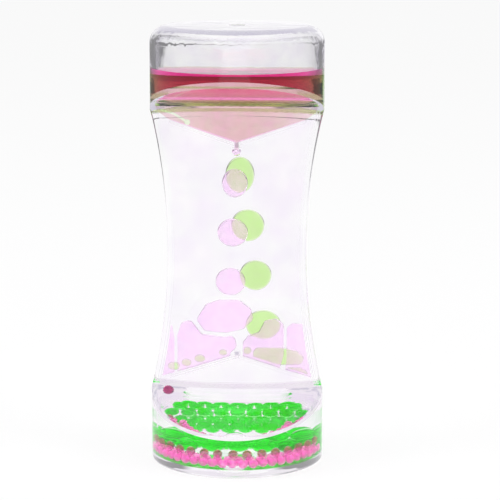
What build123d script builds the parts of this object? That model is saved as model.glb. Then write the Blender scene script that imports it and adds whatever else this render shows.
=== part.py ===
from build123d import *
import os
from math import cos, pi, radians, sin, sqrt, tan

os.makedirs("parts", exist_ok=True)

# A clear timer that stands on end: two round cups joined by a thin flat waist.
# It is split into a front and a rear chamber. Pink liquid drips in the front one,
# green liquid in the rear one, and clear oil fills the rest of both.
# +Z is up, the front is -Y, and the origin is the centre of the foot. Lengths are millimetres.

# Outer form
overall_height = 139.0
cup_radius = 27.5
lower_cup_height = 22.5
upper_cup_height = 26.0
shoulder_fall = 9.0  # from a cup's edge in the middle to the edge of its round wall
waist_half_width = 22.0
slab_half_thickness = 6.2
slab_edge_half_thickness = 1.3  # where its faces would leave the cups
slab_edge_radius = 0.8
junction_radius = 6.5  # hollow, where the waist's faces run into the shoulders
top_edge_radius = 5.6
foot_edge_radius = 0.8
gate_mark_radius = 2.8
gate_mark_depth = 0.25

# Walls
cup_wall = 1.9
waist_side_wall = 2.4
slab_wall = 2.1
shoulder_wall = 2.2
top_wall = 2.2
cell_edge_depth = 1.5  # from the middle to the cell's face, where it would leave the cups

# Base plate and its two fill plugs
base_thickness = 2.5
rim_wall = 1.0
seat_clearance = 0.1
plug_radius = 2.6
plug_head_radius = 3.8
plug_head_thickness = 1.0
plug_distance = 12.0

# Divider between the chambers, held by its edges in grooves of the shell
divider_thickness = 1.4
groove_depth = 0.8
groove_clearance = 0.05

# Funnel strips: a V with a short drip nozzle at its lowest point, and open ends
funnel_apex_drop = 10.6  # below the upper cup's edge
funnel_rise = 7.1
funnel_thickness = 1.1
port_width = 2.9
nozzle_radius = 1.3
nozzle_bore_radius = 0.7
nozzle_length = 1.0

# Liquids still in the upper cup
air_height = 10.8
rear_level_drop = 2.4  # the green liquid stands this much lower than the pink
liquid_shoulder_rise = 5.0
liquid_corner_radius = 6.0
streak_width = 0.8
streak_end_radius = 0.9

# Drops on their way down, in the order of their fall
liquid_clearance = 0.3
drop_thickness = 2.4
drop_edge_radius = 1.1
pendant_width = 2.8
pendant_height = 2.1
pink_lean = 2.5  # degrees from upright, to the left going down
pink_start = -0.5
green_lean = 8.5  # degrees from upright, to the right going down
green_start = 0.9

# Liquid lying on the roof strip in the waist
pool_corner_radius = 1.6
pool_edge_radius = 0.7
roof_bead_edge_radius = 0.5
port_drop_width = 3.6
port_drop_height = 3.8
port_drop_thickness = 1.1
port_drop_rise = 0.9  # of its middle over the lower cup's inner edge
port_drop_outset = 2.2  # of its middle past the waist's inner half width

# Liquid beads that have settled in the lower cup
pink_bead_diameter = 2.9
pink_bead_gap = 0.15
pink_bead_rows = 3
green_bead_diameter = 5.2
green_bead_height = 3.6
green_bead_gap = 0.12
green_bead_rows = 3

# Room left free in the oil beside a lane of drops
lane_clearance = 1.0

# Overrun of every cut past the body that it cuts
cut_overrun = 2.0

# Falling drops, in the order of their fall: shares of the way from the nozzle's mouth to the roof
pink_level_shares = (0.837, 0.598, 0.359)
pink_width_shares = (0.121, 0.144, 0.141)
pink_height_shares = (0.138, 0.135, 0.133)
green_level_shares = (0.870, 0.626, 0.382, 0.138)
green_width_shares = (0.135, 0.156, 0.150, 0.165)
green_height_shares = (0.177, 0.156, 0.148, 0.145)
# Height of the room where liquid collects on the roof, as a share of the same way
pool_height_share = 0.28
# Places on the pool outlines: shares of the waist's half width (across) and of the pool's height (up)
upper_blob_shares = ((-0.58, 0.60), (-0.44, 0.88), (-0.25, 0.96), (0.05, 0.96), (0.21, 0.80),
                     (0.24, 0.62), (0.10, 0.45), (-0.15, 0.38), (-0.46, 0.41))
left_blob_shares = ((-0.86, -0.50), (-0.86, 0.30), (-0.80, 0.54), (-0.66, 0.60), (-0.50, 0.35),
                    (-0.18, 0.31), (-0.03, 0.33), (0.01, 0.14), (-0.09, 0.02), (-0.09, -0.50))
left_sliver_shares = ((-1.20, -0.60), (-0.90, -0.60), (-0.90, 0.25), (-0.93, 0.50), (-1.15, 0.56))
middle_blob_shares = ((0.09, -0.50), (0.09, 0.22), (0.16, 0.33), (0.32, 0.40), (0.40, 0.60),
                      (0.56, 0.64), (0.68, 0.54), (0.68, 0.00), (0.56, -0.50))
right_blob_shares = ((0.66, -0.60), (0.72, -0.10), (0.72, 0.48), (0.80, 0.56), (1.15, 0.50),
                     (1.20, -0.60))
green_pool_shares = ((0.225, 0.02), (0.27, 0.09), (0.62, 0.09), (0.86, 0.03), (0.98, -0.11),
                     (0.90, -0.22), (0.50, -0.22), (0.225, -0.12))
green_film_shares = ((0.56, -0.265), (0.92, -0.265), (1.02, -0.36), (1.02, -0.60), (0.56, -0.60))
# Small green drops on the roof: shares of the waist's half width
roof_bead_place_shares = (-0.91, -0.725, -0.53, -0.20, 0.14)
roof_bead_width_shares = (0.182, 0.145, 0.159, 0.118, 0.127)
roof_bead_height_shares = (0.118, 0.109, 0.109, 0.086, 0.109)
# Middle of the liquid's round upright edge: depth from the divider as a share of its radius
liquid_corner_depth_share = 0.9
# Places on the oil streak: shares of the funnel's half span (across) and rise (up)
streak_shares = ((-1.12, 1.52), (-1.03, 1.40), (-0.92, 1.29), (-0.72, 0.88))

# Derived places
slope = shoulder_fall / cup_radius
waist_top = overall_height - upper_cup_height
waist_middle = (lower_cup_height + waist_top) / 2
cavity_radius = cup_radius - cup_wall
cavity_waist = waist_half_width - waist_side_wall
cell_depth = slab_half_thickness - slab_wall
cavity_top = overall_height - top_wall
shoulder_offset = shoulder_wall * sqrt(1 + slope**2)
divider_face = divider_thickness / 2
cell_centre = (divider_face + cell_depth) / 2
inner_low_edge = lower_cup_height - shoulder_offset
inner_high_edge = waist_top + shoulder_offset
funnel_apex_height = waist_top - funnel_apex_drop
funnel_tip_height = funnel_apex_height + funnel_rise
mouth_height = funnel_apex_height - funnel_thickness - nozzle_length
roof_apex = 2 * waist_middle - funnel_apex_height + funnel_thickness
bore_length = nozzle_length + funnel_thickness + nozzle_bore_radius
fall_height = mouth_height - roof_apex
pool_height = fall_height * pool_height_share
liquid_level = cavity_top - air_height
port_drop_place = cavity_waist + port_drop_outset
port_drop_depth = divider_face + liquid_clearance + port_drop_thickness / 2
port_drop_level = inner_low_edge + port_drop_rise


def side_arc_radius(radius, waist, low_edge, high_edge):
    """Radius of the arc that draws in one side of the waist."""
    half_chord = (high_edge - low_edge) / 2
    sag = radius - waist
    return (half_chord**2 + sag**2) / (2 * sag)


def side_place(waist, arc_radius, from_middle):
    """Half width of a form at a distance above or below the middle of its waist."""
    return waist + arc_radius - sqrt(arc_radius**2 - from_middle**2)


def waist_sides(radius, waist, low, low_edge, high_edge, high, overrun):
    """Front view of a form: one arc on each side draws in the waist between the edges of the cups."""
    middle = (low_edge + high_edge) / 2
    half_reach = (high_edge - low_edge) / 2 + overrun
    side = side_place(waist, side_arc_radius(radius, waist, low_edge, high_edge), half_reach)
    outline = [
        Line((-side, low), (side, low)),
        Line((side, low), (side, middle - half_reach)),
        ThreePointArc((side, middle - half_reach), (waist, middle), (side, middle + half_reach)),
        Line((side, middle + half_reach), (side, high)),
        Line((side, high), (-side, high)),
        Line((-side, high), (-side, middle + half_reach)),
        ThreePointArc((-side, middle + half_reach), (-waist, middle), (-side, middle - half_reach)),
        Line((-side, middle - half_reach), (-side, low)),
    ]
    return Plane.XZ * make_face(outline)


def slab_plan(half_width, half_thickness, edge):
    """Plan of the waist: two shallow arcs, closed by short straight edges."""
    outline = [
        ThreePointArc((-half_width, edge), (0, half_thickness), (half_width, edge)),
        Line((half_width, edge), (half_width, -edge)),
        ThreePointArc((half_width, -edge), (0, -half_thickness), (-half_width, -edge)),
        Line((-half_width, -edge), (-half_width, edge)),
    ]
    return make_face(outline)


def gable(edge, end, reach):
    """Side view of a cup: its shoulder is two planes that slope away from the waist."""
    fall = reach * slope if end < edge else -reach * slope
    outline = Polyline((-reach, end), (reach, end), (reach, edge - fall), (0, edge), (-reach, edge - fall),
                       close=True)
    return extrude(Plane.YZ * make_face(outline), reach, both=True)


def timer_form(radius, waist, half_thickness, edge, low, low_edge, high_edge, high,
               low_rounding, high_rounding, junction_rounding, side_rounding):
    """Two round cups with gabled shoulders and the thin slab between them."""
    reach = radius + cut_overrun
    foot = low_edge - shoulder_fall
    slab = Pos(0, 0, foot) * extrude(slab_plan(reach, half_thickness, edge),
                                     high_edge + shoulder_fall - foot)
    blocks = gable(low_edge, low, reach) + gable(high_edge, high, reach) + slab
    if junction_rounding:
        blocks = fillet(blocks.edges().filter_by(GeomType.ELLIPSE), junction_rounding)
    column = Cylinder(radius, high - low, align=(Align.CENTER, Align.CENTER, Align.MIN))
    if high_rounding:
        column = fillet(column.edges().sort_by(Axis.Z)[-1], high_rounding)
    if low_rounding:
        column = fillet(column.edges().sort_by(Axis.Z)[0], low_rounding)
    sides = waist_sides(radius, waist, low, low_edge, high_edge, high, cut_overrun)
    form = blocks & (Pos(0, 0, low) * column) & extrude(sides, reach, both=True)
    if side_rounding:
        waist_length = (high_edge - low_edge) / 2
        form = fillet([edge for edge in form.edges() if edge.bounding_box().size.Z > waist_length],
                      side_rounding)
    return form


def cavity_form(inset, low, high):
    """Space inside the walls, drawn in by a further inset."""
    return timer_form(
        cavity_radius - inset, cavity_waist - inset, cell_depth - inset, cell_edge_depth - inset,
        low, inner_low_edge, inner_high_edge, high, 0, top_edge_radius - top_wall, 0, 0)


def half_space(near, far, low, high):
    """Block in front of the middle, between two distances from it and between two heights."""
    block = Box(2 * cup_radius, far - near, high - low, align=(Align.CENTER, Align.MAX, Align.MIN))
    return Pos(0, -near, low) * block


def to_rear(body):
    """The same body in the rear chamber."""
    return mirror(body, about=Plane.XZ)


def to_lower(body):
    """The same body turned over, about the middle of the waist."""
    return mirror(body, about=Plane.XY.offset(waist_middle))


cavity = cavity_form(0, base_thickness, cavity_top)
cavity_arc_radius = side_arc_radius(cavity_radius, cavity_waist, inner_low_edge, inner_high_edge)
funnel_half_span = side_place(cavity_waist, cavity_arc_radius, funnel_tip_height - waist_middle) - port_width
funnel_slope = funnel_rise / funnel_half_span


def make_outer_shell():
    """Cups and waist in one moulding, closed and rounded on top, open below."""
    body = timer_form(
        cup_radius, waist_half_width, slab_half_thickness, slab_edge_half_thickness, 0,
        lower_cup_height, waist_top, overall_height, foot_edge_radius, top_edge_radius,
        junction_radius, slab_edge_radius)
    body -= cavity
    rebate = Cylinder(cup_radius - rim_wall, base_thickness + cut_overrun,
                      align=(Align.CENTER, Align.CENTER, Align.MAX))
    body -= Pos(0, 0, base_thickness) * rebate
    body -= make_divider_wings(groove_clearance)
    mark = Cylinder(gate_mark_radius, gate_mark_depth + cut_overrun,
                    align=(Align.CENTER, Align.CENTER, Align.MIN))
    return body - Pos(0, 0, overall_height - gate_mark_depth) * mark


def make_divider_wings(clearance):
    """Flat sheet that reaches past the cavity's sides by the depth of the grooves."""
    reach = groove_depth + clearance
    high = cavity_top - top_edge_radius + clearance
    sides = waist_sides(cavity_radius + reach, cavity_waist + reach, base_thickness,
                        inner_low_edge, inner_high_edge, high, 0)
    return extrude(sides, divider_face + clearance, both=True)


def make_divider_plate():
    """Sheet that splits the cavity from the base plate to the top wall."""
    sheet = Box(2 * cup_radius, divider_thickness, overall_height,
                align=(Align.CENTER, Align.CENTER, Align.MIN))
    return (cavity & sheet) + make_divider_wings(0)


def plug_hole(side, clearance):
    """Stepped round hole or plug through the base plate, head outwards."""
    stem = Cylinder(plug_radius + clearance, base_thickness,
                    align=(Align.CENTER, Align.CENTER, Align.MIN))
    head = Cylinder(plug_head_radius + clearance, plug_head_thickness,
                    align=(Align.CENTER, Align.CENTER, Align.MIN))
    return Pos(0, side * plug_distance, 0) * (stem + head)


def make_base_plate():
    """Disc seated in the rebate of the shell's foot, with two stepped fill holes."""
    disc = Cylinder(cup_radius - rim_wall - seat_clearance, base_thickness,
                    align=(Align.CENTER, Align.CENTER, Align.MIN))
    return disc - plug_hole(-1, seat_clearance) - plug_hole(1, seat_clearance)


def make_funnel():
    """Upper strip of the front chamber, with its drip nozzle."""
    tip = funnel_tip_height
    strip = make_face(Polyline(
        (0, funnel_apex_height), (funnel_half_span, tip), (funnel_half_span, tip - funnel_thickness),
        (0, funnel_apex_height - funnel_thickness), (-funnel_half_span, tip - funnel_thickness),
        (-funnel_half_span, tip), close=True))
    cell = cavity & half_space(divider_face, cup_radius, 0, overall_height)
    body = extrude(Plane.XZ * strip, cup_radius) & cell
    align = (Align.CENTER, Align.CENTER, Align.MIN)
    mouth = Pos(0, -cell_centre, mouth_height)
    body += mouth * Cylinder(nozzle_radius, nozzle_length + funnel_thickness / 2, align=align)
    return body - mouth * Cylinder(nozzle_bore_radius, bore_length, align=align)


funnel = make_funnel()


def make_oil_corner(side):
    """Upright corner between the divider and the cup's wall, with the liquid's round edge taken out."""
    round_edge = Cylinder(liquid_corner_radius, overall_height, align=(Align.CENTER, Align.CENTER, Align.MIN))
    corner = Box(2 * liquid_corner_radius, 2 * liquid_corner_radius, overall_height,
                 align=(Align.MIN if side > 0 else Align.MAX, Align.MIN, Align.MIN))
    place = side * (cavity_radius - liquid_corner_radius)
    depth = divider_face + liquid_corner_radius * liquid_corner_depth_share
    return Pos(place, -depth, inner_high_edge) * (corner - round_edge)


def make_reservoir(level):
    """Liquid of the front chamber that still stands on the upper strip, down to the nozzle's mouth.
    It draws back from the upright corners between the divider and the cup's wall."""
    tip = funnel_tip_height
    side = cup_radius
    outline = make_face(Polyline(
        (0, funnel_apex_height), (funnel_half_span, tip), (side, tip + liquid_shoulder_rise),
        (side, level), (-side, level), (-side, tip + liquid_shoulder_rise),
        (-funnel_half_span, tip), close=True))
    body = extrude(Plane.XZ * outline, cup_radius)
    body = body & cavity & half_space(divider_face, cup_radius, 0, overall_height)
    for side in (-1, 1):
        body -= make_oil_corner(side)
    thread = Cylinder(nozzle_bore_radius, bore_length, align=(Align.CENTER, Align.CENTER, Align.MIN))
    return body + Pos(0, -cell_centre, mouth_height) * thread


def make_streak():
    """Oil that has found its way up the left end of the front strip, and parts the pink liquid there."""
    places = [(across * funnel_half_span, funnel_apex_height + up * funnel_rise)
              for across, up in streak_shares]
    line = trace(Polyline(*places), line_width=streak_width)
    end = Pos(places[-1][0], places[-1][1]) * Circle(streak_end_radius)
    return extrude(Plane.XZ * (line + end), cell_depth)


def flat_drop(outline, edge_radius):
    """Outline in the front chamber's cell, thickened between divider and wall, with its rim rounded."""
    body = extrude(Plane.XZ.offset(divider_face + liquid_clearance) * outline, drop_thickness)
    rims = [edge for face in body.faces().filter_by(Axis.Y) for edge in face.edges()]
    return fillet(rims, edge_radius)


def make_lane_drops(lean, start, level_shares, width_shares, height_shares):
    """Flattened drops on their way down one lane, which leans to the right going down.
    Gives each drop's solid, its centre, its width and its height."""
    drops = []
    for level, width_share, height_share in zip(level_shares, width_shares, height_shares):
        way = fall_height * (level_shares[0] - level)
        centre = (start + way * tan(radians(lean)), roof_apex + fall_height * level)
        width, height = fall_height * width_share, fall_height * height_share
        outline = Pos(*centre) * Ellipse(width / 2, height / 2)
        drops.append((flat_drop(outline, drop_edge_radius), centre, width, height))
    return drops


def make_pendant_drop():
    """Next pink drop, still hanging from the nozzle's mouth."""
    centre = mouth_height - pendant_height + pendant_width / 2
    ball = Pos(0, -cell_centre, centre) * Sphere(pendant_width / 2)
    keep = half_space(divider_face + liquid_clearance, cell_depth - liquid_clearance, centre - pendant_width,
                      mouth_height)
    return ball & keep


def roof_level(across):
    """Height of the roof strip's upper face at a distance from the middle."""
    return roof_apex - abs(across) * funnel_slope


waist_room = cavity_form(liquid_clearance, base_thickness + liquid_clearance, cavity_top - liquid_clearance)


def pool_room():
    """Room over the roof strip for liquid that lies in the front cell."""
    foot = roof_level(cup_radius) + liquid_clearance
    over_roof = make_face(Polyline(
        (-cup_radius, foot), (0, roof_apex + liquid_clearance), (cup_radius, foot),
        (cup_radius, waist_middle), (-cup_radius, waist_middle), close=True))
    return extrude(Plane.XZ * over_roof, cup_radius) & waist_room


room = pool_room()


def pool_blob(shares):
    """One lying blob, rounded at its corners and round its rim, cut by the strip and walls it lies on."""
    places = [(across * waist_half_width, roof_apex + up * pool_height) for across, up in shares]
    outline = make_face(Polyline(*places, close=True))
    outline = fillet(outline.vertices(), pool_corner_radius)
    return flat_drop(outline, pool_edge_radius) & room


def make_roof_beads():
    """Small green drops in a row on the roof strip."""
    beads = []
    for place, width_share, height_share in zip(
            roof_bead_place_shares, roof_bead_width_shares, roof_bead_height_shares):
        across, width, height = (waist_half_width * share for share in (place, width_share, height_share))
        rise = sqrt((width / 2 * funnel_slope) ** 2 + (height / 2) ** 2)
        outline = Pos(across, roof_level(across) + liquid_clearance + rise) * Ellipse(width / 2, height / 2)
        beads.append(flat_drop(outline, roof_bead_edge_radius) & waist_room)
    return beads


def ball(width, height):
    """Round bead, flattened or drawn out along the upright axis."""
    return scale(Sphere(width / 2), by=(1, 1, height / width))


def make_port_drop():
    """Pink drop at the left edge of the waist, below the roof strip, on its way down to the foot."""
    drop = scale(Sphere(port_drop_width / 2),
                 by=(1, port_drop_thickness / port_drop_width, port_drop_height / port_drop_width))
    return Pos(-port_drop_place, -port_drop_depth, port_drop_level) * drop


def make_pink_beads():
    """Three rows of small beads along the front wall of the lower cup, and one row on top of them."""
    pitch = pink_bead_diameter + pink_bead_gap
    bead = Sphere(pink_bead_diameter / 2)
    first = cavity_radius - liquid_clearance - pink_bead_diameter / 2
    level = base_thickness + pink_bead_gap + pink_bead_diameter / 2
    rows = [(first - row * pitch, level, pitch) for row in range(pink_bead_rows)]
    rows.append((first - pitch / 2, level + pitch * sqrt(3) / 2, pitch * sqrt(2)))
    beads = []
    for radius, height, spacing in rows:
        step = spacing / radius
        count = int((pi - 2 * pitch / radius) / step)
        for i in range(count + 1):
            angle = -pi / 2 + (i - count / 2) * step
            beads.append(Pos(radius * cos(angle), radius * sin(angle), height) * bead)
    return beads


def make_green_beads():
    """Rows of larger flattened beads beside the divider in the lower cup, each row in the gaps of
    the one before, and a layer of rows in the hollows on top of them."""
    pitch = green_bead_diameter + green_bead_gap
    row_pitch = pitch * sqrt(3) / 2
    bead = ball(green_bead_diameter, green_bead_height)
    level = base_thickness + green_bead_gap + green_bead_height / 2
    reach = cavity_radius - liquid_clearance - green_bead_diameter / 2
    first = divider_face + liquid_clearance + green_bead_diameter / 2
    layer_rise = green_bead_height / green_bead_diameter * pitch * sqrt(2 / 3)
    beads = []
    for layer in range(2):
        height = level + layer * layer_rise
        for row in range(green_bead_rows - layer):
            depth = first + row * row_pitch + layer * row_pitch / 3
            shift = (row + layer) % 2 * pitch / 2
            half = sqrt(reach**2 - depth**2)
            count = int((half - shift) / pitch)
            places = [shift + i * pitch for i in range(-count - (1 if shift else 0), count + 1)]
            beads += [Pos(place, depth, height) * bead for place in places]
    return beads


def make_lane(drops):
    """Room that a lane of drops takes up as it moves, which the oil leaves free."""
    reach = max(width for _, _, width, _ in drops) / 2 + lane_clearance
    (top_x, top_z), (foot_x, foot_z) = drops[0][1], drops[-1][1]
    lean = (foot_x - top_x) / (top_z - foot_z)
    high_x, high_z = top_x - lean * (funnel_apex_height - top_z), funnel_apex_height
    fall = drops[-1][3]
    low_x, low_z = foot_x + lean * fall, foot_z - fall
    outline = Polyline((high_x - reach, high_z), (high_x + reach, high_z), (low_x + reach, low_z),
                       (low_x - reach, low_z), close=True)
    return extrude(Plane.XZ * make_face(outline), cup_radius)


def make_port_well():
    """Upright room round the port drop and below it, down which it falls."""
    top = port_drop_level + port_drop_height / 2 + liquid_clearance
    reach = port_drop_width / 2 + liquid_clearance
    depth = port_drop_depth + port_drop_thickness / 2 + liquid_clearance
    well = Box(2 * reach, depth, top, align=(Align.CENTER, Align.MAX, Align.MIN))
    return Pos(-port_drop_place, 0, 0) * well


def make_oil(lane, bed_top, well):
    """Clear oil of the front chamber, from just over the settled beads to the upper liquid.
    The room where drops fall, land and collect is left free."""
    oil = cavity & half_space(divider_face, cup_radius, bed_top + liquid_clearance, funnel_tip_height)
    foot = roof_level(cup_radius)
    pools = Polyline(
        (-cup_radius, foot), (0, roof_apex), (cup_radius, foot), (cup_radius, roof_apex + pool_height),
        (-cup_radius, roof_apex + pool_height), close=True)
    oil -= extrude(Plane.XZ * make_face(pools), cup_radius)
    return oil - funnel - to_lower(funnel) - reservoir - lane - well


def save(name, *bodies):
    """Write one piece, or one group of like pieces, under its name."""
    solids = [solid for body in bodies for solid in body.solids()]
    shape = solids[0] if len(solids) == 1 else Compound(children=solids)
    shape.label = name
    export_step(shape, f"parts/{name}.step")
    print(f"{name}: {len(solids)} solids, {sum(solid.volume for solid in solids):.1f} mm3")


save("outer_shell", make_outer_shell())
save("base_plate", make_base_plate())
save("fill_plug_front", plug_hole(-1, 0))
save("fill_plug_rear", plug_hole(1, 0))
save("divider_plate", make_divider_plate())
save("upper_funnel_front", funnel)
save("upper_funnel_rear", to_rear(funnel))
save("lower_funnel_front", to_lower(funnel))
save("lower_funnel_rear", to_rear(to_lower(funnel)))
reservoir = make_reservoir(liquid_level)
save("pink_reservoir", reservoir - make_streak())
save("green_reservoir", to_rear(make_reservoir(liquid_level - rear_level_drop)))
save("pink_pendant_drop", make_pendant_drop())
pink_drops = make_lane_drops(-pink_lean, pink_start, pink_level_shares, pink_width_shares,
                             pink_height_shares)
green_drops = make_lane_drops(green_lean, green_start, green_level_shares, green_width_shares,
                              green_height_shares)
for number, drop in enumerate(pink_drops, 1):
    save(f"pink_drop_{number}", drop[0])
for number, drop in enumerate(green_drops, 1):
    save(f"green_drop_{number}", to_rear(drop[0]))
save("pink_pool_blobs", *[pool_blob(shares) for shares in (
    upper_blob_shares, left_blob_shares, left_sliver_shares, middle_blob_shares, right_blob_shares)])
save("green_pool_blobs", *[to_rear(blob) for blob in make_roof_beads()],
     *[to_rear(pool_blob(shares)) for shares in (green_pool_shares, green_film_shares)])
save("pink_port_drop", make_port_drop())
pink_beads = make_pink_beads()
green_beads = make_green_beads()
save("pink_settled_beads", *pink_beads)
save("green_settled_beads", *green_beads)
pink_bed_top = max(bead.bounding_box().max.Z for bead in pink_beads)
green_bed_top = max(bead.bounding_box().max.Z for bead in green_beads)
save("clear_oil_front", make_oil(make_lane(pink_drops), pink_bed_top, make_port_well()))
save("clear_oil_rear", to_rear(make_oil(make_lane(green_drops), green_bed_top, Part())))
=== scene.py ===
# %% [markdown]
# # A liquid motion timer
# The object is a clear plastic timer that stands on end: two round cups joined by a thin flat
# waist. A divider splits it into a front chamber with pink liquid and a rear chamber with green
# liquid, and clear oil fills the rest. Almost everything here is seen through something else, so
# most of this lesson is about how light passes from one clear thing into the next.

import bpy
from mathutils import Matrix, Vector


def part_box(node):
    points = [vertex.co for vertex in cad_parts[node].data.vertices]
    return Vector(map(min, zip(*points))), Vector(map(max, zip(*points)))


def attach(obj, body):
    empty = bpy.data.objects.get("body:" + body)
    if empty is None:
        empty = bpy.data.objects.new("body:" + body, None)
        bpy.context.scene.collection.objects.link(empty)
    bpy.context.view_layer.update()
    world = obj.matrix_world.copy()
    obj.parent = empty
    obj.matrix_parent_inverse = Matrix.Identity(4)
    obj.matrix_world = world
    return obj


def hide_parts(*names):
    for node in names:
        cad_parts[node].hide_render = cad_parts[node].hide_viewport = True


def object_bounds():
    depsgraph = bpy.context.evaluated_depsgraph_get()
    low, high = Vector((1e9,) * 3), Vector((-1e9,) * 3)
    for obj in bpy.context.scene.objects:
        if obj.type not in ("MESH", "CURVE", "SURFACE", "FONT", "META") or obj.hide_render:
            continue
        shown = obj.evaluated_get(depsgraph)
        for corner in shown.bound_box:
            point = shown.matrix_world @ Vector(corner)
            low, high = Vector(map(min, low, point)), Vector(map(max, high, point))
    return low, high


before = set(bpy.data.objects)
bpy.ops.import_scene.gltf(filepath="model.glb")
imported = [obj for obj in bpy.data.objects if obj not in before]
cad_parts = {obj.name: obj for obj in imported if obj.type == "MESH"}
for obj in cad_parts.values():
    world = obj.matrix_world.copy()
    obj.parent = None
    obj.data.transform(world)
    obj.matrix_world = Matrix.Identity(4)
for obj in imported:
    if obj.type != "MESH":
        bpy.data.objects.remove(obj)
cad_low, cad_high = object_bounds()
print("solids loaded:", len(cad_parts), "height in mm:", round(cad_high.z * 1000, 1))

# %% Modules and units
import math

import bmesh
import bpy
from mathutils import Vector

MM = 0.001
scene = bpy.context.scene
print("one millimetre is", MM, "of the scene's units")

# %% [markdown]
# ## One helper for nodes and one for colours
# Every material and every Geometry Nodes tree below is written out in the script. A single helper
# adds a node, sets what it needs and links its inputs, which keeps each tree short enough to read.
# Colours are written as they look on a screen, in sRGB hex, and one function makes them linear.

# %% Add a node
def add(tree, kind, values=None, links=None, **settings):
    """A new node with its settings, its fixed inputs and its linked inputs."""
    node = tree.nodes.new(kind)
    for name, value in settings.items():
        setattr(node, name, value)
    for name, value in (values or {}).items():
        node.inputs[name].default_value = value
    for name, source in (links or {}).items():
        tree.links.new(source, node.inputs[name])
    return node


print("helper for nodes ready")

# %% Read a colour
def linear(hex_colour):
    """A colour from the screen in linear light, with full cover."""
    shares = [int(hex_colour[i:i + 2], 16) / 255 for i in (1, 3, 5)]
    made = [s / 12.92 if s <= 0.04045 else ((s + 0.055) / 1.055) ** 2.4 for s in shares]
    return (*made, 1.0)


WHITE = linear("#ffffff")
print("a pale pink in linear light:", [round(v, 3) for v in linear("#fdebff")])

# %% [markdown]
# ## What light meets between clear things
# Where the walls meet air, light bends strongly, so the outside of the moulding has the index of
# clear styrene. Where oil or liquid wets the wall, light only feels the step between the two, so
# that face gets the ratio of both indices, which is nearly one. That is why wet walls almost
# vanish, and why the same wall looks silvery round the air pocket at the top.
#
# The thin strips lie in oil of nearly their own index. The settled beads press on one another, so
# the step at each of them is softer than at a drop that falls alone.

# %% Indices of refraction and their ratios
STYRENE = 1.57
OIL = 1.46
WATER = 1.34
WET_RATIO = STYRENE / OIL
DROP_RATIO = WATER / OIL
INSERT_RATIO = 1.012
BEAD_RATIO = 0.955
print("wet wall", round(WET_RATIO, 3), "drop in oil", round(DROP_RATIO, 3))

# %% [markdown]
# ## Faint unevenness
# No moulding is quite flat, and no liquid is quite even. Soft waves of a real size bend the light a
# little and let the tint drift between two close colours. They follow Object coordinates, so they
# stay in place on the piece.

# %% Waves and drifting tint
WAVES_LOW, WAVES_HIGH = 0.35, 0.65


def new_material(name):
    """An empty material and its tree."""
    made = bpy.data.materials.new(name)
    made.use_nodes = True
    made.node_tree.nodes.clear()
    return made, made.node_tree


def soft_waves(tree, size_mm):
    """Soft waves of a size in millimetres, and the place on the piece."""
    place = add(tree, "ShaderNodeTexCoord").outputs["Object"]
    waves = add(tree, "ShaderNodeTexNoise", {"Scale": 1 / (size_mm * MM), "Detail": 2.0},
                {"Vector": place})
    return waves.outputs[0], place


def drifting_tint(tree, waves, first, second):
    """A tint that the waves carry from one colour to the other."""
    share = add(tree, "ShaderNodeMapRange", {"From Min": WAVES_LOW, "From Max": WAVES_HIGH}, {
        "Value": waves})
    # A mix of colours has them on inputs 6 and 7, and its result on output 2.
    mix = add(tree, "ShaderNodeMix", {6: linear(first), 7: linear(second)}, {
        0: share.outputs[0]}, data_type="RGBA")
    return mix.outputs[2]


print("helpers for uneven surfaces ready")

# %% [markdown]
# ## Light that turns many times
# In the thick corners of clear plastic, light turns back and forth until the renderer gives it up,
# which would leave black marks. The photograph shows pale tints there. So light that has crossed
# very many faces, or has been mirrored too often, ends in a glow of one plain colour instead. This
# glow is painted light: pale for most clear pieces, a grey painted shade for the faces in air and
# round the air pocket, and a colour of the dye for the dyed liquids.

# %% A painted glow for light that has turned too often
MOST_FACES = 10.5
MOST_CLEAR_FACES = 6.5
MOST_MIRRORINGS = 3.5
# Painted glows: a pale painted light, and a grey painted shade.
PALE_LIGHT = "#f1eef1"
SHADED_LIGHT = "#d2d0da"


def bright_at_last(tree, surface, painted_glow=PALE_LIGHT, kind="Ray Depth", most=MOST_FACES):
    """The surface, or a painted glow in one colour for light that has come a long way."""
    rays = add(tree, "ShaderNodeLightPath")
    many = add(tree, "ShaderNodeMath", {1: most}, {0: rays.outputs[kind]}, operation="GREATER_THAN")
    turned = add(tree, "ShaderNodeMath", {1: MOST_MIRRORINGS}, {0: rays.outputs["Glossy Depth"]},
                 operation="GREATER_THAN")
    deep = add(tree, "ShaderNodeMath", links={0: many.outputs[0], 1: turned.outputs[0]},
               operation="MAXIMUM")
    # This emission is painted light: the surface glows in this colour where the light would go on.
    tint = add(tree, "ShaderNodeEmission", {"Color": linear(painted_glow), "Strength": 1.0})
    mix = add(tree, "ShaderNodeMixShader", links={
        0: deep.outputs[0], 1: surface, 2: tint.outputs[0]})
    return mix.outputs[0]


print("light is kept for", math.floor(MOST_FACES), "faces")

# %% [markdown]
# ## Clear styrene
# The moulding is injection-moulded clear styrene. It is almost colourless, with very soft flow
# waves left by the mould. A glass shader with a waved bump gives that, and two close tints keep
# it from looking like empty space. The inner wall round the air pocket is a little more uneven,
# since a thin film of oil clings to it.

# %% Clear styrene in air, round the pocket, wetted by oil, and as inserts
def styrene(name, ior, first, wave_mm, wave_height_mm, painted_glow=PALE_LIGHT):
    """Clear plastic for one kind of neighbour."""
    made, tree = new_material(name)
    waves, _ = soft_waves(tree, wave_mm)
    normal = add(tree, "ShaderNodeBump", {"Strength": 1.0, "Distance": wave_height_mm * MM}, {
        "Height": waves}).outputs[0]
    clear = add(tree, "ShaderNodeBsdfGlass", {"Roughness": 0.0, "IOR": ior}, {
        "Color": drifting_tint(tree, waves, first, "#ffffff"), "Normal": normal})
    add(tree, "ShaderNodeOutputMaterial", links={
        "Surface": bright_at_last(tree, clear.outputs[0], painted_glow)})
    return made


# The moulding in air and round the air pocket ends in the grey painted shade, the wet pieces in the
# pale painted light.
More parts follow.
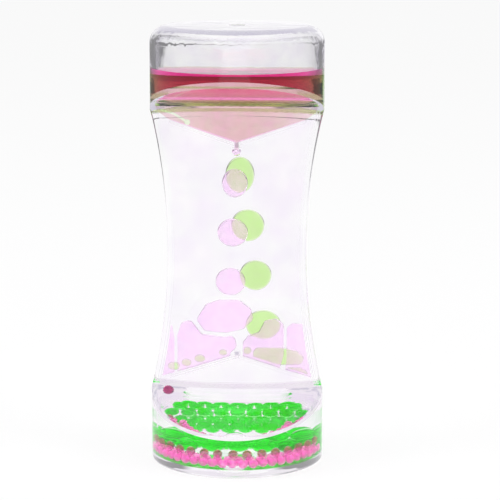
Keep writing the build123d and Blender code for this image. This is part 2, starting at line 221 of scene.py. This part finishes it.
styrene_in_air = styrene("clear_styrene", STYRENE, "#fdfcfe", 9.0, 0.035, SHADED_LIGHT)
styrene_dry = styrene("styrene_round_the_air", STYRENE, "#fbfafd", 6.0, 0.07, SHADED_LIGHT)
styrene_wet = styrene("styrene_wetted_by_oil", WET_RATIO, "#fefdff", 9.0, 0.010)
styrene_insert = styrene("styrene_insert_in_oil", INSERT_RATIO, "#fefdfe", 5.0, 0.006)
print([m.name for m in (styrene_in_air, styrene_dry, styrene_wet, styrene_insert)])

# %% [markdown]
# ## Glued joints and clear oil
# Where two clear things touch without any step, as oil on the wall or the glued base in its seat,
# light goes straight on. A transparent shader says exactly that. The wall's own face already
# bends the light, so the oil only adds its faint tint.

# %% Passing straight through
OIL_WAVE = 12.0


def straight_through(name, first, second):
    """Clear matter that doesn't bend light."""
    made, tree = new_material(name)
    waves, _ = soft_waves(tree, OIL_WAVE)
    clear = add(tree, "ShaderNodeBsdfTransparent", links={
        "Color": drifting_tint(tree, waves, first, second)})
    # Light that has crossed too many clear faces ends in the pale painted light.
    add(tree, "ShaderNodeOutputMaterial", links={"Surface": bright_at_last(
        tree, clear.outputs[0], kind="Transparent Depth", most=MOST_CLEAR_FACES)})
    return made


clear_oil = straight_through("clear_mineral_oil", "#fffeff", "#ffffff")
glued_joint = straight_through("glued_styrene_joint", "#ffffff", "#fefefe")
print(clear_oil.name, glued_joint.name)

# %% [markdown]
# ## Dyed liquids
# Both liquids are dyed water. Dye takes its colour out of light bit by bit, so a thin drop is pale
# and a full cup is dark. Volume Absorption does this: its colour and density say how much light
# is lost along each millimetre. The pink dye takes green light, and the green dye takes blue
# light and most of the red, so pink in front of green looks dark red.
#
# The liquid in the cup wets the wall, so its sides let light straight through and only its open
# top bends it. Falling drops and settled beads carry fine droplets of oil, which make them a
# little cloudy. A share of a matt shader stands for that. The upper row of pink beads lies
# against the green ones, and its matt colour is darker there: painted shade, where the green
# beads behind it darken the light.

# %% Film between wall and liquid
FILM = 0.03
liquid_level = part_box("pink_reservoir")[1].z
green_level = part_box("green_reservoir")[1].z
print("levels in mm:", round(liquid_level / MM, 1), round(green_level / MM, 1))

# %% Parts of a dyed liquid
LIQUID_WAVE, LIQUID_WAVE_HEIGHT = 3.0, 0.004
# Between these heights the matt colour turns to its second one, painted shade on the upper row of
# pink beads.
PAINTED_SHADE_FROM, PAINTED_SHADE_TO = 5.2, 6.6


def open_top_only(tree, tint, bending, height, open_top):
    """Straight through at the sides, bending at the open top."""
    side = add(tree, "ShaderNodeBsdfTransparent", links={"Color": tint})
    above = add(tree, "ShaderNodeMath", {1: open_top - 2 * FILM * MM}, {0: height},
                operation="GREATER_THAN")
    return add(tree, "ShaderNodeMixShader", links={
        0: above.outputs[0], 1: side.outputs[0], 2: bending}).outputs[0]


def clouded(tree, surface, normal, height, matt_and_painted_shade_colours, share):
    """The surface with a matt share, in one colour for the lower row and one for the upper; a
    darker upper colour is painted shade.
    """
    high = add(tree, "ShaderNodeMapRange", {
        "From Min": PAINTED_SHADE_FROM * MM, "From Max": PAINTED_SHADE_TO * MM}, {"Value": height})
    # The second colour is painted shade where it is darker.
    shade = add(tree, "ShaderNodeMix", {6: linear(matt_and_painted_shade_colours[0]), 7: linear(matt_and_painted_shade_colours[-1])}, {
        0: high.outputs[0]}, data_type="RGBA")
    milk = add(tree, "ShaderNodeBsdfDiffuse", links={"Color": shade.outputs[2], "Normal": normal})
    return add(tree, "ShaderNodeMixShader", {0: share}, {1: surface, 2: milk.outputs[0]}).outputs[0]


print("a film of", FILM, "mm parts the liquid from the wall")

# %% Dyed water
def dyed(name, loss_per_mm, ior, first, second, painted_glow, cloud_and_painted_shade_colours=(), cloud_share=0.0, open_top=None):
    """A dyed liquid from what it takes of red, green and blue light along each millimetre."""
    made, tree = new_material(name)
    waves, place = soft_waves(tree, LIQUID_WAVE)
    normal = add(tree, "ShaderNodeBump", {"Strength": 1.0, "Distance": LIQUID_WAVE_HEIGHT * MM}, {
        "Height": waves}).outputs[0]
    tint = drifting_tint(tree, waves, first, second)
    height = add(tree, "ShaderNodeSeparateXYZ", links={0: place}).outputs["Z"]
    surface = add(tree, "ShaderNodeBsdfGlass", {"Roughness": 0.0, "IOR": ior}, {
        "Color": tint, "Normal": normal}).outputs[0]
    if open_top is not None:
        surface = open_top_only(tree, tint, surface, height, open_top)
    if cloud_and_painted_shade_colours:
        surface = clouded(tree, surface, normal, height, cloud_and_painted_shade_colours, cloud_share)
    most = max(loss_per_mm)
    kept = [1 - loss / most for loss in loss_per_mm]
    dye = add(tree, "ShaderNodeVolumeAbsorption", {"Color": (*kept, 1.0), "Density": most / MM})
    # Light that has come a long way ends in a painted glow of the given colour.
    add(tree, "ShaderNodeOutputMaterial", links={
        "Surface": bright_at_last(tree, surface, painted_glow), "Volume": dye.outputs[0]})
    return made


print("dyed water ready")

# %% Liquid in the cups
PINK_LOSS, GREEN_LOSS = (0.004, 0.15, 0.055), (0.042, 0.024, 0.100)
CUP_DEPTH = 24
# The third colour of each dyed liquid is a painted glow, painted light in a colour of its dye where
# light has crossed too many faces.
pink_deep = dyed("pink_water_in_the_cup", PINK_LOSS, WATER, "#fff9fe", "#ffffff", "#a81c28",
                 open_top=liquid_level)
green_deep = dyed("green_water_in_the_cup", GREEN_LOSS, WATER, "#fafff8", "#ffffff", "#60b038",
                  open_top=green_level)
for colour, loss in (("pink", PINK_LOSS), ("green", GREEN_LOSS)):
    left = [round(math.exp(-CUP_DEPTH * share), 2) for share in loss]
    print(colour, "water leaves", left, "of red, green and blue over", CUP_DEPTH, "mm")

# %% Drops and beads
# Here too the third colour is a painted glow.
pink_drop_water = dyed("pink_water_drop", (0.001, 0.014, 0.0), DROP_RATIO, "#fffaff", "#ffffff",
                       "#f8e0f8", ("#ffc0ff",), 0.18)
green_drop_water = dyed("green_water_drop", (0.16, 0.022, 0.36), DROP_RATIO, "#fcfff8",
                        "#ffffff", "#c0e890")
# The second matt colour of the pink beads, #a04454, is painted shade on their upper row.
pink_bead_water = dyed("pink_water_bead", (0.003, 0.16, 0.04), BEAD_RATIO, "#fff6fb", "#ffffff",
                       "#f070c0", ("#ff80d4", "#a04454"), 0.42)
green_bead_water = dyed("green_water_bead", (0.95, 0.016, 0.95), BEAD_RATIO, "#f0fff0",
                        "#fafffa", "#08d010", ("#04f010",), 0.05)
port_drop_water = dyed("magenta_water_drop", (0.25, 1.60, 0.75), BEAD_RATIO, "#fff6fb",
                       "#ffffff", "#b04878", ("#a02c60",), 0.45)
print("materials so far:", len(bpy.data.materials))

# %% [markdown]
# ## Pieces from the solids
# Most solids already have the right form. Each is copied, its loose triangles are merged, and its
# normals are made even, so that light bends smoothly across it. Sharp edges stay sharp. What lies
# against a wall is drawn in by a film of a few hundredths of a millimetre, because two faces in
# exactly the same place would confuse the light that crosses them.

# %% Even normals with sharp edges kept
SHARP_DEGREES = 28


def finish_normals(made):
    """Smooth faces with even normals, and edges that stay sharp where they are."""
    mesh = made.data
    if mesh.attributes.get("custom_normal"):
        mesh.attributes.remove(mesh.attributes["custom_normal"])
    mesh.polygons.foreach_set("use_smooth", [True] * len(mesh.polygons))
    mesh.set_sharp_from_angle(angle=math.radians(SHARP_DEGREES))
    even = made.modifiers.new("even_normals", "WEIGHTED_NORMAL")
    even.keep_sharp = True
    even.weight = 100


print("edges over", SHARP_DEGREES, "degrees stay sharp")

# %% Copy a solid as a finished piece
MERGE_DISTANCE = 0.0005


def piece_from(node, name, material, body="housing", draw_in_mm=0.0):
    """One solid as a finished piece that rides on a body."""
    made = bpy.data.objects.new(name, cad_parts[node].data.copy())
    scene.collection.objects.link(made)
    solid = bmesh.new()
    solid.from_mesh(made.data)
    bmesh.ops.remove_doubles(solid, verts=solid.verts, dist=MERGE_DISTANCE * MM)
    solid.normal_update()
    for vertex in solid.verts:
        vertex.co -= vertex.normal * draw_in_mm * MM
    solid.to_mesh(made.data)
    solid.free()
    made.data.materials.clear()
    made.data.materials.append(material)
    finish_normals(made)
    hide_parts(node)
    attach(made, body)
    return made


shell = piece_from("outer_shell", "shell_moulding", styrene_in_air)
foot = piece_from("base_plate", "foot_plate", styrene_in_air)
print("faces in the moulding:", len(shell.data.polygons))

# %% [markdown]
# ## Which faces are wet
# The moulding is one mesh, but its faces meet different things. A surface halfway through the wall
# tells the inner faces from the outer ones. Inner faces below the liquid's level are wet, inner
# faces round the air pocket stay dry, and the seat of the base is glued. The green liquid stands
# lower than the pink, so each chamber has its own level.

# %% Form halfway through the wall, in millimetres
CUP_RADIUS, WAIST = 26.6, 20.8
HALF_THICK, HALF_THICK_AT_EDGE = 5.15, 1.4
LOW_EDGE, HIGH_EDGE = 21.33, 114.17
SLOPE = 9.0 / 27.5
ROUNDING = 4.5
HALF_TOP_WALL = 1.1
half_chord, draw_in = (HIGH_EDGE - LOW_EDGE) / 2, CUP_RADIUS - WAIST
side_radius = (half_chord ** 2 + draw_in ** 2) / (2 * draw_in)
top_mid = cad_high.z / MM - HALF_TOP_WALL
face_reach = CUP_RADIUS + 2
print("the waist's sides are arcs of", round(side_radius), "mm")

# %% Test for a point within that form
def inside_wall(point):
    """True for a point within the form halfway through the wall."""
    x, y, z = (abs(point.x) / MM, abs(point.y) / MM, point.z / MM)
    radius = math.hypot(x, y)
    if radius > CUP_RADIUS or z > top_mid:
        return False
    over, out = z - (top_mid - ROUNDING), radius - (CUP_RADIUS - ROUNDING)
    if over > 0 and out > 0 and math.hypot(over, out) > ROUNDING:
        return False
    if z < LOW_EDGE - y * SLOPE or z > HIGH_EDGE + y * SLOPE:
        return True
    up = z - (LOW_EDGE + HIGH_EDGE) / 2
    if abs(up) < half_chord and x > WAIST + side_radius - math.sqrt(side_radius ** 2 - up ** 2):
        return False
    return y < HALF_THICK - (HALF_THICK - HALF_THICK_AT_EDGE) * (x / face_reach) ** 2


print("a point in the waist is inside:", inside_wall(Vector((0, 0, 60 * MM))))

# %% Cut the inner faces at the two levels
solid = bmesh.new()
solid.from_mesh(shell.data)
for level in (liquid_level, green_level):
    inner = [f for f in solid.faces if inside_wall(f.calc_center_median())]
    around = list({e for f in inner for e in f.edges}) + list({v for f in inner for v in f.verts})
    bmesh.ops.bisect_plane(solid, geom=inner + around, plane_co=(0, 0, level),
                           plane_no=(0, 0, 1), dist=0.001 * MM)
print("faces after the cuts:", len(solid.faces))

# %% Give the inner faces their materials
OUTER, WET, GLUED, DRY = range(4)
HAIR = 0.01 * MM
base_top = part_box("base_plate")[1].z
for material in (styrene_wet, glued_joint, styrene_dry):
    shell.data.materials.append(material)
count = [0, 0, 0, 0]
for face in solid.faces:
    centre = face.calc_center_median()
    level = liquid_level if centre.y < 0 else green_level
    face.material_index = OUTER
    if inside_wall(centre):
        below = GLUED if centre.z < base_top + HAIR else WET
        face.material_index = below if centre.z < level else DRY
    count[face.material_index] += 1
solid.to_mesh(shell.data)
solid.free()
print("outer, wet, glued and dry inner faces:", count)

# %% [markdown]
# ## Foot plate
# The foot plate is a disc glued into a seat. Its top is wet and its underside meets the air. The
# faces between are glued joints, which light crosses without bending.

# %% Faces of a piece in its seat
def seat_materials(made):
    """Wet on top, glued between, and in air below."""
    for material in (styrene_wet, glued_joint):
        made.data.materials.append(material)
    for face in made.data.polygons:
        if face.center.z > base_top - HAIR:
            face.material_index = WET
        elif face.center.z > HAIR:
            face.material_index = GLUED


seat_materials(foot)
print("foot plate faces:", len(foot.data.polygons))

# %% [markdown]
# ## Inserts
# A thin divider and four V-shaped funnel strips sit in the oil. They are cut from clear styrene
# sheet, so only their edges show, as thin pale lines. The divider's faces lie flat across the view
# and let light straight through.

# %% Divider and funnel strips
piece_from("divider_plate", "divider", glued_joint, draw_in_mm=FILM)
for level in ("upper", "lower"):
    for side in ("front", "rear"):
        piece_from(f"{level}_funnel_{side}", f"funnel_strip_{level}_{side}", styrene_insert,
                   draw_in_mm=FILM)
print("inserts made")

# %% [markdown]
# ## Plugs
# Each chamber is filled through a hole in the foot plate, which a stepped plug closes. The plugs
# are glued in like the plate itself, so the same rule gives their faces their materials. They are
# drawn in by the film, because their sides would lie exactly in the holes' own.

# %% Plugs in the foot plate
for node, name in (("fill_plug_front", "plug_front"), ("fill_plug_rear", "plug_rear")):
    seat_materials(piece_from(node, name, styrene_in_air, draw_in_mm=FILM))
print("plugs made")

# %% [markdown]
# ## Liquids
# The clear oil fills both chambers up to the dyed liquid. Drops leave the nozzles one by one and
# fall in a leaning row, flattened between divider and wall. At the foot of the waist they lie on
# the roof strip in blobs before they run through its ports. The solids have these forms already,
# so each gets its liquid, and the falling ones ride on the bodies that move.

# %% Bodies of liquid that stand still
for node, name, material, slot in (
        ("clear_oil_front", "oil_front", clear_oil, "clear_oil"),
        ("clear_oil_rear", "oil_rear", clear_oil, "clear_oil"),
        ("pink_reservoir", "pink_cup_liquid", pink_deep, "pink_liquid"),
        ("green_reservoir", "green_cup_liquid", green_deep, "green_liquid"),
        ("pink_pendant_drop", "pink_hanging_drop", pink_drop_water, "pink_liquid"),
        ("pink_pool_blobs", "pink_lying_blobs", pink_drop_water, "pink_liquid"),
        ("green_pool_blobs", "green_lying_blobs", green_drop_water, "green_liquid")):
    piece_from(node, name, material, draw_in_mm=FILM)
print("still liquids made")

# %% Falling drops
for colour, number_of_drops, material in (("pink", 3, pink_drop_water),
                                          ("green", 4, green_drop_water)):
    for number in range(1, number_of_drops + 1):
        piece_from(f"{colour}_drop_{number}", f"{colour}_falling_{number}", material,
                   f"{colour}_fall_{number}")
piece_from("pink_port_drop", "pink_side_drop", port_drop_water, "pink_port_fall")
print("falling drops made")

# %% [markdown]
# ## Settled beads
# Liquid that has reached the foot lies in beads that don't run together at once. The pink ones are
# small and follow the curved front wall in rows. The green ones are larger and lie in staggered
# rows behind the divider, two layers deep. Both follow a rule, so Geometry Nodes set them out:
# points in rows, a little unevenness from a fixed seed, and one flattened bead on each point.

# %% Inputs of the bead tree
BEAD_INPUTS = (
    ("Bead Width", "NodeSocketFloat", 3 * MM),
    ("Bead Height", "NodeSocketFloat", 3 * MM),
    ("Unevenness", "NodeSocketFloat", 0.1 * MM),
    ("Size Change", "NodeSocketFloat", 0.05),
    ("Seed", "NodeSocketInt", 1))


def uneven_points(tree, points, given):
    """Points nudged by a little, the same way on each run."""
    back = add(tree, "ShaderNodeMath", {1: -1.0}, {0: given["Unevenness"]}, operation="MULTIPLY")
    nudge = add(tree, "FunctionNodeRandomValue", data_type="FLOAT_VECTOR", links={
        "Seed": given["Seed"], 0: back.outputs[0], 1: given["Unevenness"]})
    return add(tree, "GeometryNodeSetPosition", links={
        "Geometry": points, "Offset": nudge.outputs[0]}).outputs[0]


def flattened_ball(tree, given):
    """A round ball scaled to the bead's width and height."""
    half = add(tree, "ShaderNodeMath", {1: 0.5}, {0: given["Bead Width"]}, operation="MULTIPLY")
    flat = add(tree, "ShaderNodeMath", {1: 0.5}, {0: given["Bead Height"]}, operation="MULTIPLY")
    form = add(tree, "ShaderNodeCombineXYZ", links={
        "X": half.outputs[0], "Y": half.outputs[0], "Z": flat.outputs[0]})
    ball = add(tree, "GeometryNodeMeshIcoSphere", {"Radius": 1.0, "Subdivisions": 4})
    return add(tree, "GeometryNodeTransform", links={
        "Geometry": ball.outputs[0], "Scale": form.outputs[0]}).outputs[0]


print("inputs:", [name for name, _, _ in BEAD_INPUTS])

# %% A tree that puts beads on rows of points
def bead_tree(name, material, rows):
    """rows is a list of functions that each add one row of points to the tree."""
    tree = bpy.data.node_groups.new(name, "GeometryNodeTree")
    for socket, kind, value in BEAD_INPUTS:
        made = tree.interface.new_socket(socket, in_out="INPUT", socket_type=kind)
        made.default_value = value
    tree.interface.new_socket("Geometry", in_out="OUTPUT", socket_type="NodeSocketGeometry")
    given = add(tree, "NodeGroupInput").outputs
    joined = add(tree, "GeometryNodeJoinGeometry")
    for row in rows:
        tree.links.new(row(tree), joined.inputs[0])
    smaller = add(tree, "ShaderNodeMath", {0: 1.0}, {1: given["Size Change"]}, operation="SUBTRACT")
    size = add(tree, "FunctionNodeRandomValue", {3: 1.0}, {
        "Seed": given["Seed"], 2: smaller.outputs[0]}, data_type="FLOAT")
    put = add(tree, "GeometryNodeInstanceOnPoints", links={
        "Points": uneven_points(tree, joined.outputs[0], given),
        "Instance": flattened_ball(tree, given), "Scale": size.outputs[1]})
    real = add(tree, "GeometryNodeRealizeInstances", links={"Geometry": put.outputs[0]})
    smooth = add(tree, "GeometryNodeSetShadeSmooth", links={"Geometry": real.outputs[0]})
    painted = add(tree, "GeometryNodeSetMaterial", {"Material": material}, {
        "Geometry": smooth.outputs[0]})
    add(tree, "NodeGroupOutput", links={"Geometry": painted.outputs[0]})
    return tree


print("bead tree ready")

# %% Run a tree and keep its plain mesh
def grow(name, tree, inputs, slot, *nodes):
    """The plain mesh that a tree makes from its inputs, as a finished piece."""
    holder = bpy.data.objects.new(name + "_rule", bpy.data.meshes.new(name + "_rule"))
    scene.collection.objects.link(holder)
    rule = holder.modifiers.new("rule", "NODES")
    rule.node_group = tree
    for item in tree.interface.items_tree:
        if item.in_out == "INPUT":
            rule[item.identifier] = inputs[item.name]
    evaluated = holder.evaluated_get(bpy.context.evaluated_depsgraph_get())
    mesh = bpy.data.meshes.new_from_object(evaluated)
    bpy.data.objects.remove(holder)
    made = bpy.data.objects.new(name, mesh)
    scene.collection.objects.link(made)
    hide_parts(*nodes)
    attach(made, "housing")
    print(name, "faces", len(mesh.polygons))


print("trees are run once and kept as plain meshes")

# %% [markdown]
# ## Pink beads
# Three rows on the base plate follow the front wall, each one bead further in, and one row lies in
# the hollow on top of the first two.

# %% One row of points on an arc
def arc_row(radius_mm, height_mm, count, sweep):
    """A function that adds points on an arc round the front of the cup."""
    def points(tree):
        arc = add(tree, "GeometryNodeCurveArc", {
            "Resolution": count, "Radius": radius_mm * MM, "Start Angle": -math.pi / 2 - sweep / 2,
            "Sweep Angle": sweep}, mode="RADIUS")
        up = add(tree, "GeometryNodeTransform", {"Translation": (0, 0, height_mm * MM)}, {
            "Geometry": arc.outputs[0]})
        dots = add(tree, "GeometryNodeCurveToPoints", links={"Curve": up.outputs[0]},
                   mode="EVALUATED")
        return dots.outputs[0]
    return points


PINK_BEAD, PINK_GAP, PINK_ROWS = 2.9, 0.15, 3
pink_pitch = PINK_BEAD + PINK_GAP
pink_low, pink_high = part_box("pink_settled_beads")
first_radius = (pink_high.x - pink_low.x) / 2 / MM - PINK_BEAD / 2
bed = base_top / MM
print("radius of the first row in mm:", round(first_radius, 2))

# %% Rows of pink beads along the front wall
rows = [(first_radius - i * pink_pitch, bed + PINK_GAP + PINK_BEAD / 2, pink_pitch)
        for i in range(PINK_ROWS)]
rows.append((first_radius - pink_pitch / 2, rows[0][1] + pink_pitch * math.sqrt(3) / 2,
             pink_pitch * math.sqrt(2)))
arcs = []
for radius, height, spacing in rows:
    step = spacing / radius
    steps = int((math.pi - 2 * pink_pitch / radius) / step)
    arcs.append(arc_row(radius, height, steps + 1, steps * step))
grow("pink_beads", bead_tree("pink_bead_rows", pink_bead_water, arcs),
     {"Bead Width": PINK_BEAD * MM, "Bead Height": PINK_BEAD * MM, "Unevenness": 0.12 * MM,
      "Size Change": 0.08, "Seed": 4}, "pink_liquid", "pink_settled_beads")

# %% [markdown]
# ## Green beads
# The rows lie beside the divider in the rear chamber. Each row sits in the gaps of the one before,
# and a second layer sits in the hollows of the first.

# %% One straight row of points
def straight_row(first_mm, depth_mm, height_mm, count, pitch_mm):
    """A function that adds points on a straight line from its left end."""
    def points(tree):
        line = add(tree, "GeometryNodeMeshLine", {
            "Count": count, "Start Location": (first_mm * MM, depth_mm * MM, height_mm * MM),
            "Offset": (pitch_mm * MM, 0, 0)})
        return add(tree, "GeometryNodeMeshToPoints", links={"Mesh": line.outputs[0]}).outputs[0]
    return points


GREEN_BEAD, GREEN_HEIGHT, GREEN_GAP = 5.2, 3.6, 0.12
GREEN_ROWS, GREEN_LAYERS = 3, 2
pitch = GREEN_BEAD + GREEN_GAP
row_pitch = pitch * math.sqrt(3) / 2
layer_rise = GREEN_HEIGHT / GREEN_BEAD * pitch * math.sqrt(2 / 3)
reach = pink_high.x / MM - GREEN_BEAD / 2
first_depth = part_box("green_settled_beads")[0].y / MM + GREEN_BEAD / 2
print("green rows are", round(row_pitch, 2), "mm apart")

# %% Staggered rows of green beads behind the divider
lines = []
for layer in range(GREEN_LAYERS):
    height = bed + GREEN_GAP + GREEN_HEIGHT / 2 + layer * layer_rise
    for row in range(GREEN_ROWS - layer):
        depth = first_depth + row * row_pitch + layer * row_pitch / 3
        between = (row + layer) % 2
        shift = between * pitch / 2
        beside = int((math.sqrt(reach ** 2 - depth ** 2) - shift) / pitch)
        lines.append(straight_row(shift - (beside + between) * pitch, depth, height,
                                  2 * beside + 1 + between, pitch))
grow("green_beads", bead_tree("green_bead_rows", green_bead_water, lines),
     {"Bead Width": GREEN_BEAD * MM, "Bead Height": GREEN_HEIGHT * MM, "Unevenness": 0.15 * MM,
      "Size Change": 0.06, "Seed": 9}, "green_liquid", "green_settled_beads")

# %% [markdown]
# ## What the clear pieces see
# An even white all round would hide every edge of clear plastic. A photographer therefore sets
# darker flags at both sides, so that the edges draw grey lines. Here the floor and the room both
# fall off to the sides, and a little toward the camera, but only as seen in or through the pieces.

# %% Strength that falls off to the sides and to the front
FLAGS_FROM, FLAGS_TO, FLAG_STRENGTH = 0.34, 0.46, 0.26


def fall_off(tree, place, front_from, front_to, front_strength):
    """Strength at a place on the floor or in a direction of the room."""
    split = add(tree, "ShaderNodeSeparateXYZ", links={0: place})
    side = add(tree, "ShaderNodeMath", links={0: split.outputs["X"]}, operation="ABSOLUTE")
    flags = add(tree, "ShaderNodeMapRange", {
        "From Min": FLAGS_FROM, "From Max": FLAGS_TO, "To Min": 1.0, "To Max": FLAG_STRENGTH},
        {"Value": side.outputs[0]})
    front = add(tree, "ShaderNodeMapRange", {
        "From Min": front_from, "From Max": front_to, "To Min": front_strength, "To Max": 1.0},
        {"Value": split.outputs["Y"]})
    return add(tree, "ShaderNodeMath", links={0: flags.outputs[0], 1: front.outputs[0]},
               operation="MINIMUM").outputs[0]


def seen_in_pieces(tree, rays):
    """One for light that comes mirrored from a piece or through it."""
    return add(tree, "ShaderNodeMath", links={
        0: rays.outputs["Is Glossy Ray"], 1: rays.outputs["Is Transmission Ray"]},
        operation="MAXIMUM").outputs[0]


print("flags begin at", FLAGS_FROM)

# %% [markdown]
# ## Floor
# The timer stands on a plain pale sheet that runs back out of sight. The camera sees it almost as
# white as the backdrop, with the soft shadow left in.

# %% Floor
FLOOR_HALF, FLOOR_DROP = 40.0, 0.2
WHITE_SHARE = 0.85
mesh = bpy.data.meshes.new("floor")
mesh.from_pydata([(x * FLOOR_HALF, y * FLOOR_HALF, -FLOOR_DROP * MM)
                  for x, y in ((-1, -1), (1, -1), (1, 1), (-1, 1))], [], [(0, 1, 2, 3)])
floor = bpy.data.objects.new("floor", mesh)
scene.collection.objects.link(floor)
print("floor side in m:", 2 * FLOOR_HALF)

# %% White paper
paper, tree = new_material("white_paper")
rays = add(tree, "ShaderNodeLightPath")
keep = add(tree, "ShaderNodeMath", {1: WHITE_SHARE}, {0: rays.outputs["Is Camera Ray"]},
           operation="MULTIPLY")
share = add(tree, "ShaderNodeMath", links={0: seen_in_pieces(tree, rays), 1: keep.outputs[0]},
            operation="MAXIMUM")
sweep = fall_off(tree, add(tree, "ShaderNodeTexCoord").outputs["Object"], front_from=-0.60,
                 front_to=-0.25, front_strength=0.80)
strength = add(tree, "ShaderNodeMath", links={0: sweep, 1: rays.outputs["Is Camera Ray"]},
               operation="MAXIMUM")
matt = add(tree, "ShaderNodeBsdfDiffuse", {"Color": linear("#f2f2f3")})
white = add(tree, "ShaderNodeEmission", {"Color": WHITE}, {"Strength": strength.outputs[0]})
mix = add(tree, "ShaderNodeMixShader", links={
    0: share.outputs[0], 1: matt.outputs[0], 2: white.outputs[0]})
add(tree, "ShaderNodeOutputMaterial", links={"Surface": mix.outputs[0]})
floor.data.materials.append(paper)
print("floor has", paper.name)

# %% [markdown]
# ## World
# The room is a white tent with the flags at its sides. The light that falls on matt surfaces stays
# even. The cloudy liquid inside the pieces gets more of it, because droplets pass light on to one
# another, which a plain matt shader leaves out.

# %% Light of the room
ROOM_LIGHT, LIGHT_INSIDE = 0.7, 4.0
world = bpy.data.worlds.new("studio")
scene.world = world
world.use_nodes = True
tree = world.node_tree
tree.nodes.clear()
rays = add(tree, "ShaderNodeLightPath")
place = add(tree, "ShaderNodeTexCoord").outputs["Generated"]
tent = add(tree, "ShaderNodeBackground", {"Color": WHITE}, {
    "Strength": fall_off(tree, place, front_from=-0.75, front_to=-0.35, front_strength=0.85)})
inside = add(tree, "ShaderNodeMapRange", {"To Min": ROOM_LIGHT, "To Max": LIGHT_INSIDE}, {
    "Value": rays.outputs["Transmission Depth"]})
light = add(tree, "ShaderNodeBackground", {"Color": WHITE}, {"Strength": inside.outputs[0]})
backdrop = add(tree, "ShaderNodeBackground", {"Color": WHITE, "Strength": 1.0})
print("lights of the room:", len(tree.nodes))

# %% Which light a ray finds
# A ray that has touched nothing matt finds the tent, and one straight from the camera the backdrop.
clear = add(tree, "ShaderNodeMath", {1: 0.5}, {0: rays.outputs["Diffuse Depth"]},
            operation="LESS_THAN")
through = add(tree, "ShaderNodeMath", links={0: seen_in_pieces(tree, rays), 1: clear.outputs[0]},
              operation="MULTIPLY")
soft = add(tree, "ShaderNodeMixShader", links={
    0: through.outputs[0], 1: light.outputs[0], 2: tent.outputs[0]})
full = add(tree, "ShaderNodeMixShader", links={
    0: rays.outputs["Is Camera Ray"], 1: soft.outputs[0], 2: backdrop.outputs[0]})
add(tree, "ShaderNodeOutputWorld", links={"Surface": full.outputs[0]})
print("world made")

# %% [markdown]
# ## Lamps
# Two large softboxes light the scene from both sides and above. They don't show as bright shapes in
# the plastic, since the photograph has no such highlights.

# %% Lamps
LAMP_SIZE, LAMP_POWER = (0.5, 0.7), 6.0
ASIDE, TOWARD_CAMERA, ABOVE = 0.9, 0.3, 0.7
AIM = Vector((0, 0, 0.07))
for name, side in (("left_softbox", -1), ("right_softbox", 1)):
    lamp = bpy.data.lights.new(name, "AREA")
    lamp.shape, lamp.energy = "RECTANGLE", LAMP_POWER
    lamp.size, lamp.size_y = LAMP_SIZE
    made = bpy.data.objects.new(name, lamp)
    made.location = (side * ASIDE, -TOWARD_CAMERA, ABOVE)
    made.rotation_euler = (AIM - made.location).to_track_quat("-Z", "Y").to_euler()
    made.visible_glossy = made.visible_transmission = False
    scene.collection.objects.link(made)
print("lamps made")

# %% [markdown]
# ## Camera
# A long lens looks down by about ten degrees, from a little to the right. The distance follows from
# how much the top's ellipse opens against the foot's.

# %% Camera
DISTANCE, HEIGHT = 0.660, 0.1892
TURN, LOOK_DOWN = math.radians(3.4), math.radians(10.29)
camera = bpy.data.objects.new("camera", bpy.data.cameras.new("camera"))
scene.collection.objects.link(camera)
camera.location = (DISTANCE * math.sin(TURN), -DISTANCE * math.cos(TURN), HEIGHT)
camera.rotation_euler = (math.pi / 2 - LOOK_DOWN, 0.0, TURN)
camera.data.sensor_width, camera.data.lens = 36.0, 151.66
camera.data.shift_x, camera.data.shift_y = 0.0257, -0.0119
camera.data.clip_start = 0.01
scene.camera = camera
scene.view_settings.view_transform = "Standard"
print("camera at", [round(v, 3) for v in camera.location])
